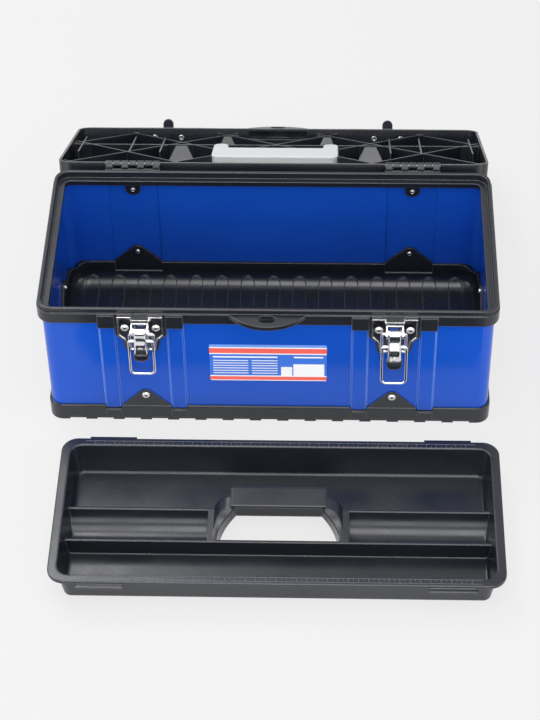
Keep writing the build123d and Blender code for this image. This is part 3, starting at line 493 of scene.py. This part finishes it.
class TOOLBOX_OT_levers(bpy.types.Operator):
    """Form the pressed latch levers.

    Across the lever the sheet is half a superellipse with open back. Down the lever its front follows the
    round head, dips, swells over the bail's eyes and runs on with a pressed groove.
    """

    bl_idname = "toolbox.levers"
    bl_label = "Latch Levers"

    def execute(self, context):
        sheet = context.scene.tool_box_sizes.sheet / MM
        nickel = nickel_plate(0.0)
        head, end, widest = 4.2, 30.0, 7.2
        down = np.concatenate((-head * np.cos(np.linspace(0.1, pi / 2, 14)), np.linspace(0.6, end, 70)))
        rounding = np.sqrt(np.maximum(head ** 2 - np.minimum(down, 0) ** 2, 0.0))
        swell = 0.7 * np.exp(-((down - 17.0) / 4.0) ** 2) - 1.0 * np.exp(-((down - 8.5) / 4.5) ** 2)
        front = np.where(down < 0, rounding, 3.6 + 0.6 * np.exp(-(down / 3.0) ** 2) + swell)
        skirt = np.interp(down, (0.0, 17.5, 28.7, end), (-head, -7.4, -3.0, -3.0))
        back = np.where(down < 0, -rounding, skirt)
        half = widest - 0.5 * np.exp(-((down - 9.0) / 5.0) ** 2)
        turn = np.linspace(pi, 0, 49)
        wide, high = np.cos(turn), np.sin(turn)
        wide = np.sign(wide) * np.abs(wide) ** 0.4
        high = np.abs(high) ** 0.45
        deepens = np.interp(down, (17.0, 22.0), (0.0, 1.0))[:, None]
        groove = 0.8 * np.exp(-(wide * widest / 1.5) ** 2) * deepens
        outer_x = half[:, None] * wide
        outer_w = back[:, None] + (front - back)[:, None] * high - groove
        inner_x = (half - sheet)[:, None] * wide
        inner_w = back[:, None] + np.maximum(front - back - sheet, 0.1)[:, None] * high - groove * 0.8
        ring_x = np.concatenate((outer_x, inner_x[:, ::-1]), axis=1)
        ring_w = np.concatenate((outer_w, inner_w[:, ::-1]), axis=1)
        # The end rows fold the outer and the inner face together
        folded_x, folded_w = (ring_x + ring_x[:, ::-1]) / 2, (ring_w + ring_w[:, ::-1]) / 2
        ring_x = np.concatenate((folded_x[:1], ring_x, folded_x[-1:])) * MM
        ring_w = np.concatenate((folded_w[:1], ring_w, folded_w[-1:])) * MM
        ring_u = np.concatenate((down[:1], down, down[-1:]))[:, None, None] * MM
        for side in SIDES:
            pivot, along, out = lever_axes(side)
            points = pivot + ring_u * along + ring_w[..., None] * out + ring_x[..., None] * ACROSS
            piece = surface(f"formed_latch_lever_{side}", points[None], 60)
            stand_for(piece, f"latch_lever_{side}", nickel)
        return {"FINISHED"}


class TOOLBOX_OT_tips(bpy.types.Operator):
    """Form the plastic tips of the latch levers: superellipse rings that shrink to a round end."""

    bl_idname = "toolbox.tips"
    bl_label = "Lever Tips"

    def execute(self, context):
        colours, sizes = context.scene.tool_box_colours, context.scene.tool_box_sizes
        vinyl = polypropylene("black_vinyl", colours.plastic, sizes.edge, 0.22)
        run = np.sin(np.linspace(0, pi / 2, 24))
        turn = np.linspace(0, 2 * pi, 64, endpoint=False)
        wide = np.sign(np.cos(turn)) * np.abs(np.cos(turn)) ** 0.5
        high = np.sign(np.sin(turn)) * np.abs(np.sin(turn)) ** 0.6
        half = np.concatenate(([0.0], 8.0 * (1 - run ** 3) ** (1 / 2.4))) * MM
        thick = np.concatenate(([0.0], 3.7 * (1 - run ** 4) ** (1 / 2.6))) * MM
        start, length = 30.0, 11.0
        down = np.concatenate(([start], start + length * run)) * MM
        for side in SIDES:
            pivot, along, out = lever_axes(side)
            points = (
                pivot
                + down[:, None, None] * along
                + (0.5 * MM + thick[:, None] * high)[..., None] * out
                + (half[:, None] * wide)[..., None] * ACROSS
            )
            piece = surface(f"formed_lever_tip_{side}", points[None], 60)
            stand_for(piece, f"lever_tip_{side}", vinyl)
        return {"FINISHED"}


class TOOLBOX_OT_buttresses(bpy.types.Operator):
    """Form the sloping plates below the lid's rib crossings.

    Each is a ring of four corners carried down a straight slope while it grows wider. It is drawn on the
    closed lid and swung open with it.
    """

    bl_idname = "toolbox.buttresses"
    bl_label = "Lid Buttresses"

    def execute(self, context):
        # Middles of the upper edges on the closed lid, and half widths at the top and the foot
        upper = np.array(((-108.0, -28.6), (108.0, -28.6), (-58.0, -88.8), (58.0, -88.8)))
        top, foot = np.array((6.5, 6.5, 4.4, 4.4)), np.array((21.0, 21.0, 17.0, 17.0))
        top_z, run, drop, half_thick = 172.0, 14.0, 28.0, 0.8
        down = np.array((0.0, 0.0, 1.0, 1.0))[:, None]
        grown = np.array((0.0, 1.0, 1.0, 0.0))[:, None]
        wide, deep = np.array((-1.0, 1.0, 1.0, -1.0)), np.array((-1.0, -1.0, 1.0, 1.0))
        half = top[:, None, None] + (foot - top)[:, None, None] * down
        offset = grown * deep * half_thick / np.hypot(run, drop)
        x, y, z = np.broadcast_arrays(
            upper[:, 0, None, None] + half * wide,
            upper[:, 1, None, None] + run * down + offset * drop,
            top_z + drop * down - offset * run,
        )
        joint = JOINTS["lid_hinge"]
        swing, pivot = radians(joint["range_deg"][0]), np.array(joint["pos_m"]) / MM
        back, rise = y - pivot[1], z - pivot[2]
        opened_y = pivot[1] + back * cos(swing) - rise * sin(swing)
        opened_z = pivot[2] + back * sin(swing) + rise * cos(swing)
        piece = surface("lid_buttresses", np.stack((x, opened_y, opened_z), axis=-1) * MM, 30)
        piece.data.materials.append(NODES["lid_shell"].data.materials[0])
        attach(piece, body_of(NODES["lid_shell"])[0])
        return {"FINISHED"}


class TOOLBOX_OT_ruler(bpy.types.Operator):
    """Raise the ruler ticks on the tray's flange: bars with an elliptic section between two thin lines."""

    bl_idname = "toolbox.ruler"
    bl_label = "Tray Ruler"

    def execute(self, context):
        pitch = context.scene.tool_box_sizes.tick_pitch
        low, high = (np.array(corner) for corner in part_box("lift_out_tray"))
        middle = (low[0] + high[0]) / 2
        # The flange lies 5 mm inside the tabs' ends and 1 mm below the top of the grip
        tab, grip_above, line_in, line_apart = 5 * MM, 1 * MM, 8.2 * MM, 5 * MM
        edges = ((low[1] + tab, 1), (high[1] - tab, -1))
        steps = np.arange(-38, 39)
        places_x = middle + pitch / 2 * steps
        reach = np.where(steps % 2 == 0, 4.6, 2.4) * MM
        centre, run, long = [], [], []
        for edge, inward in edges:
            line = edge + inward * line_in
            centre.append(np.stack((places_x, line - inward * reach / 2, 0 * places_x), axis=1))
            run.append(np.tile((0.0, 1.0, 0.0), (len(places_x), 1)))
            long.append(reach / 2)
            centre.append(np.array(((middle, line, 0.0), (middle, line - inward * line_apart, 0.0))))
            run.append(np.tile((1.0, 0.0, 0.0), (2, 1)))
            long.append(np.full(2, 200 * MM))
        centre, run, long = np.concatenate(centre), np.concatenate(run), np.concatenate(long)
        centre[:, 2] = high[2] - grip_above
        side = np.stack((-run[:, 1], run[:, 0], run[:, 2]), axis=1)
        turn = np.linspace(0, 2 * pi, 10, endpoint=False)
        place = np.array((-1.0, -1.0, 1.0, 1.0))
        grown = np.array((0.0, 1.0, 1.0, 0.0))
        stretch = place * long[:, None]
        round_x = 0.3 * MM * np.cos(turn) * grown[:, None]
        round_z = 0.22 * MM * np.sin(turn) * grown[:, None]
        points = (
            centre[:, None, None]
            + stretch[:, :, None, None] * run[:, None, None]
            + round_x[None, :, :, None] * side[:, None, None]
            + round_z[None, :, :, None] * np.array((0.0, 0.0, 1.0))
        )
        piece = surface("tray_ruler", points, 60)
        # The raised ticks are painted paler than the flange: a painted highlight where the moulded ticks
        # would catch the light
        painted_highlight = polypropylene("highlighted_polypropylene", linear("#565962"), 0.0, 0.4)
        piece.data.materials.append(painted_highlight)
        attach(piece, "tray")
        return {"FINISHED"}


class TOOLBOX_OT_label(bpy.types.Operator):
    """Print the label on a smooth film: a blue field, stripes with white rules, bars and blank panels."""

    bl_idname = "toolbox.label"
    bl_label = "Label"

    def execute(self, context):
        colours = context.scene.tool_box_colours
        material, tree = begin("printed_label_film")
        place = put(tree, "ShaderNodeTexCoord").outputs["Object"]
        axes = put(tree, "ShaderNodeSeparateXYZ", {0: place}).outputs
        low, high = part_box("label_plate")
        white, margin, red = linear("#F4F5F7"), linear("#6F9CEB"), tuple(colours.stripe)
        # Printed fields as shares of the width and of the height: left, right, bottom, top and colour
        fields = [
            (0.0, 1.0, 0.93, 1.0, margin), (0.0, 1.0, 0.735, 0.93, white), (0.0, 1.0, 0.765, 0.9, red),
            (0.0, 1.0, 0.0, 0.145, white), (0.0, 1.0, 0.02, 0.115, red),
            (0.61, 0.705, 0.145, 0.39, white), (0.715, 0.98, 0.145, 0.47, white),
        ]
        # Blank ruled lines in two columns
        for left, right in ((0.03, 0.33), (0.36, 0.58)):
            fields += [(left, right, z, z + 0.022, white) for z in (0.2, 0.27, 0.34, 0.41, 0.48, 0.55)]
        fields += [(0.03, 0.58, 0.64, 0.68, white), (0.72, 0.97, 0.64, 0.68, white)]
        ink = tuple(colours.film)
        for left, right, bottom, top, colour in fields:
            shares = []
            for axis, start, end in ((0, left, right), (2, bottom, top)):
                span = high[axis] - low[axis]
                centre, half = low[axis] + span * (start + end) / 2, span * (end - start) / 2
                sockets = {0: axes[axis], 1: centre, 2: half}
                shares.append(put(tree, "ShaderNodeMath", sockets, operation="COMPARE").outputs[0])
            inside = put(tree, "ShaderNodeMath", {0: shares[0], 1: shares[1]}, operation="MULTIPLY")
            printed = put(
                tree,
                "ShaderNodeMix",
                {"Factor": inside.outputs[0], "A": ink, "B": colour},
                data_type="RGBA",
            )
            ink = printed.outputs["Result"]
        # The film's own waves, about 15 mm long
        waves = put(tree, "ShaderNodeTexNoise", {"Vector": place, "Scale": 1 / (15 * MM)})
        bump = put(
            tree, "ShaderNodeBump", {"Strength": 0.1, "Distance": 0.2 * MM, "Height": waves.outputs["Fac"]}
        )
        skin = put(
            tree,
            "ShaderNodeBsdfPrincipled",
            {"Base Color": ink, "Roughness": 0.35, "Normal": bump.outputs[0]},
        )
        close(tree, skin)
        wear(material, "label_plate")
        return {"FINISHED"}


def seen_directly(tree):
    """Share of 1 for what the camera sees, also in a mirror or through glass, and 0 for other light."""
    path = put(tree, "ShaderNodeLightPath").outputs
    share = path["Is Camera Ray"]
    for ray in ("Is Glossy Ray", "Is Transmission Ray"):
        joined = put(tree, "ShaderNodeMath", {0: share, 1: path[ray]}, operation="ADD", use_clamp=True)
        share = joined.outputs[0]
    return share


class TOOLBOX_OT_stage(bpy.types.Operator):
    """Set up the floor, the soft light and the camera."""

    bl_idname = "toolbox.stage"
    bl_label = "Stage"

    def execute(self, context):
        scene = context.scene
        backdrop = tuple(scene.tool_box_colours.backdrop)
        # Floor: a square 12 m wide
        reach = 6.0
        corners = [(-reach, -reach, 0), (reach, -reach, 0), (reach, reach, 0), (-reach, reach, 0)]
        mesh = bpy.data.meshes.new("floor")
        mesh.from_pydata(corners, [], [(0, 1, 2, 3)])
        floor = bpy.data.objects.new("floor", mesh)
        scene.collection.objects.link(floor)
        material, tree = begin("studio_floor")
        paper = put(tree, "ShaderNodeBsdfDiffuse", {"Color": linear("#E8E8E8")})
        glow = put(tree, "ShaderNodeEmission", {"Color": backdrop, "Strength": 1.0})
        # The floor keeps about an eighth of its own shading, and with it the object's shadow
        share = put(tree, "ShaderNodeMath", {0: seen_directly(tree), 1: 0.88}, operation="MULTIPLY")
        blend = put(
            tree, "ShaderNodeMixShader", {0: share.outputs[0], 1: paper.outputs[0], 2: glow.outputs[0]}
        )
        close(tree, blend)
        mesh.materials.append(material)
        # World: the backdrop's colour where it is seen, and an even dim fill elsewhere
        world = bpy.data.worlds.new("studio")
        world.use_nodes = True
        tree = world.node_tree
        tree.nodes.clear()
        fill = put(tree, "ShaderNodeBackground", {"Color": linear("#FFFFFF"), "Strength": 0.45})
        view = put(tree, "ShaderNodeBackground", {"Color": backdrop, "Strength": 1.0})
        both = put(
            tree, "ShaderNodeMixShader", {0: seen_directly(tree), 1: fill.outputs[0], 2: view.outputs[0]}
        )
        put(tree, "ShaderNodeOutputWorld", {"Surface": both.outputs[0]})
        scene.world = world
        # Lamps: one high at the rear left for the sheen of level faces, one above, a wide one in front
        # and two fills
        for name, spot, aim, size, power in (
            ("sheen", (-0.8, 0.75, 1.8), (-0.8, 0.75, 0.0), 1.0, 24.0),
            ("above", (0.1, -0.6, 1.9), (0.0, 0.0, 0.1), 1.2, 20.0),
            ("front", (0.0, -2.0, 0.7), (0.0, 0.0, 0.1), 1.5, 20.0),
            ("left", (-1.5, -0.6, 0.6), (0.0, 0.0, 0.1), 0.9, 6.0),
            ("right", (1.5, -0.6, 0.6), (0.0, 0.0, 0.1), 0.9, 6.0),
        ):
            lamp = bpy.data.lights.new(name, "AREA")
            lamp.size = size
            lamp.energy = power
            light = bpy.data.objects.new(name, lamp)
            light.location = spot
            light.rotation_euler = (Vector(spot) - Vector(aim)).to_track_quat("Z", "Y").to_euler()
            scene.collection.objects.link(light)
        # Camera fitted to the photograph: focal length and angles, and the point that it looks at
        focal_px, width_px = 2151.58, 540
        pitch, yaw, roll = radians(45.984), radians(2.228), radians(-1.046)
        target, distance = Vector((-2.049, 0.0, -17.121)) * MM, 2369.53 * MM
        back = Vector((sin(yaw) * cos(pitch), -cos(yaw) * cos(pitch), sin(pitch)))
        right = Vector((cos(yaw), sin(yaw), 0.0))
        up = back.cross(right)
        right, up = right * cos(roll) + up * sin(roll), up * cos(roll) - right * sin(roll)
        lens = bpy.data.cameras.new("camera")
        lens.sensor_fit = "HORIZONTAL"
        lens.lens = focal_px * lens.sensor_width / width_px
        camera = bpy.data.objects.new("camera", lens)
        turn = Matrix((right, up, back)).transposed().to_4x4()
        camera.matrix_world = Matrix.Translation(target + back * distance) @ turn
        scene.collection.objects.link(camera)
        scene.camera = camera
        scene.view_settings.view_transform = "Standard"
        return {"FINISHED"}


OPERATORS = (
    TOOLBOX_OT_mouldings,
    TOOLBOX_OT_steel,
    TOOLBOX_OT_metalwork,
    TOOLBOX_OT_rivets,
    TOOLBOX_OT_levers,
    TOOLBOX_OT_tips,
    TOOLBOX_OT_buttresses,
    TOOLBOX_OT_ruler,
    TOOLBOX_OT_label,
    TOOLBOX_OT_stage,
)


class TOOLBOX_PT_panel(bpy.types.Panel):
    """Buttons for each group of pieces."""

    bl_idname = "TOOLBOX_PT_panel"
    bl_label = "Tool Box"
    bl_space_type = "VIEW_3D"
    bl_region_type = "UI"
    bl_category = "Tool Box"

    def draw(self, context):
        for operator in OPERATORS:
            self.layout.operator(operator.bl_idname)


CLASSES = (ToolBoxColours, ToolBoxSizes, *OPERATORS, TOOLBOX_PT_panel)


def register():
    for item in CLASSES:
        bpy.utils.register_class(item)
    bpy.types.Scene.tool_box_colours = PointerProperty(type=ToolBoxColours)
    bpy.types.Scene.tool_box_sizes = PointerProperty(type=ToolBoxSizes)


def unregister():
    del bpy.types.Scene.tool_box_sizes
    del bpy.types.Scene.tool_box_colours
    for item in reversed(CLASSES):
        bpy.utils.unregister_class(item)


def main():
    """Dress the box."""
    register()
    bpy.ops.toolbox.mouldings()
    bpy.ops.toolbox.steel()
    bpy.ops.toolbox.metalwork()
    bpy.ops.toolbox.rivets()
    bpy.ops.toolbox.levers()
    bpy.ops.toolbox.tips()
    bpy.ops.toolbox.buttresses()
    bpy.ops.toolbox.ruler()
    bpy.ops.toolbox.label()
    bpy.ops.toolbox.stage()


if __name__ == "__main__":
    main()
